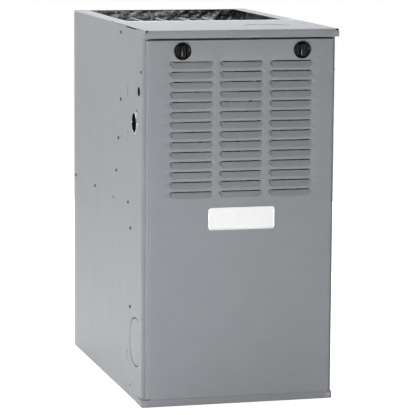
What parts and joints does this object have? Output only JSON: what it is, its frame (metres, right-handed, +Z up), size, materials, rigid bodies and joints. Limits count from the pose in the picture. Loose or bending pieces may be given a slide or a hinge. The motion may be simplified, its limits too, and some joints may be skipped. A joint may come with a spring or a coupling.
{
  "type": "forced air gas furnace",
  "caption": "Upright forced-air gas furnace: louvred front door with two knobs, open supply outlet on top, heat exchanger, burners, inducer and blower inside.",
  "frame": {"origin": "on the floor, under the middle of the casing", "axes": "+Z up, -Y towards the front door, +X to the right of someone facing the front"},
  "size_m": [0.4494, 0.754, 0.846],
  "materials": {
    "casing_paint": "light grey baked enamel, smooth, low gloss",
    "galvanised_steel": "galvanised sheet steel with a faint spangle",
    "aluminised_steel": "aluminised steel, matt grey",
    "liner_foil": "crinkled aluminium foil over glass-fibre blanket",
    "zinc_screw": "bright zinc plate",
    "blower_motor_shell": "dark painted motor shell",
    "dark_enamel": "dark grey enamel",
    "valve_casting": "bare die-cast aluminium",
    "knob_black": "glossy black plastic",
    "switch_black": "black moulded plastic",
    "button_red": "red moulded plastic",
    "ceramic": "pale unglazed ceramic",
    "board_green": "green circuit board with moulded relays and plugs",
    "cable_rubber": "dark rubber tube and wire sleeve",
    "badge_white": "white enamel field in a bright raised rim, bare"
  },
  "bodies": {
    "casing": {"casing_wrapper": "casing_paint", "top_front_plate": "casing_paint", "header_rail": "casing_paint", "base_rail": "casing_paint", "bottom_closure_panel": "galvanised_steel", "cell_panel": "galvanised_steel", "blower_deck": "galvanised_steel", "blower_access_panel": "galvanised_steel", "burner_rack": "galvanised_steel", "inducer_housing": "galvanised_steel", "vent_collar": "galvanised_steel", "control_box": "galvanised_steel", "junction_box": "galvanised_steel", "blower_housing": "galvanised_steel", "blower_motor_mount": "galvanised_steel", "heat_exchanger_cell_1": "aluminised_steel", "heat_exchanger_cell_2": "aluminised_steel", "heat_exchanger_cell_3": "aluminised_steel", "heat_exchanger_cell_4": "aluminised_steel", "burner_1": "aluminised_steel", "burner_2": "aluminised_steel", "burner_3": "aluminised_steel", "burner_4": "aluminised_steel", "gas_manifold": "aluminised_steel", "collector_box": "aluminised_steel", "foil_liner": "liner_foil", "base_rail_screw_left": "zinc_screw", "base_rail_screw_right": "zinc_screw", "top_plate_screw_left": "zinc_screw", "top_plate_screw_right": "zinc_screw", "panel_screw_left": "zinc_screw", "blower_motor": "blower_motor_shell", "inducer_motor": "dark_enamel", "transformer": "dark_enamel", "gas_valve": "valve_casting", "capacitor": "valve_casting", "rollout_switch_left": "switch_black", "rollout_switch_right": "switch_black", "limit_switch": "switch_black", "pressure_switch": "switch_black", "interlock_switch": "switch_black", "igniter": "ceramic", "flame_sensor": "ceramic", "control_board": "board_green", "pressure_tube": "cable_rubber", "wiring_harness": "cable_rubber"},
    "door": {"front_door": "casing_paint", "badge_plate": "badge_white", "interlock_striker": "galvanised_steel"},
    "knob_left": {"door_knob_left": "knob_black", "door_latch_left": "zinc_screw"},
    "knob_right": {"door_knob_right": "knob_black", "door_latch_right": "zinc_screw"},
    "plunger": {"interlock_plunger": "button_red"},
    "blower_rotor": {"blower_wheel": "galvanised_steel"},
    "inducer_rotor": {"inducer_wheel": "aluminised_steel", "inducer_cooling_fan": "switch_black"},
    "valve_knob": {"gas_valve_knob": "button_red"},
    "reset_left": {"rollout_reset_left": "button_red"},
    "reset_right": {"rollout_reset_right": "button_red"}
  },
  "joints": [
    {"name": "door_tilt", "type": "hinge", "parent": "casing", "child": "door", "pos_m": [0, -0.3825, 0.02], "axis": [1, 0, 0], "range_deg": [0, 25]},
    {"name": "knob_left_turn", "type": "hinge", "parent": "door", "child": "knob_left", "pos_m": [-0.1374, -0.3825, 0.7995], "axis": [0, 1, 0], "range_deg": [0, 90]},
    {"name": "knob_right_turn", "type": "hinge", "parent": "door", "child": "knob_right", "pos_m": [0.1374, -0.3825, 0.7995], "axis": [0, 1, 0], "range_deg": [0, 90]},
    {"name": "interlock_plunge", "type": "slide", "parent": "casing", "child": "plunger", "axis": [0, -1, 0], "range_m": [0, 0.005]},
    {"name": "blower_spin", "type": "hinge", "parent": "casing", "child": "blower_rotor", "pos_m": [0, 0.02, 0.215], "axis": [1, 0, 0], "continuous": true},
    {"name": "inducer_spin", "type": "hinge", "parent": "casing", "child": "inducer_rotor", "pos_m": [0.04475, -0.27, 0.728], "axis": [0, 1, 0], "continuous": true},
    {"name": "gas_valve_turn", "type": "hinge", "parent": "casing", "child": "valve_knob", "pos_m": [-0.162, -0.317, 0.621], "axis": [0, 1, 0], "range_deg": [0, 90]},
    {"name": "reset_left_press", "type": "slide", "parent": "casing", "child": "reset_left", "axis": [0, 0.9519, 0.3065], "range_m": [0, 0.0015], "stiffness_N_per_m": 300, "springref_m": -0.001},
    {"name": "reset_right_press", "type": "slide", "parent": "casing", "child": "reset_right", "axis": [0, 0.9519, 0.3065], "range_m": [0, 0.0015], "stiffness_N_per_m": 300, "springref_m": -0.001}
  ],
  "couplings": [
    {"joint": "interlock_plunge", "follows": "door_tilt", "m_per_rad": 0.01145}
  ]
}
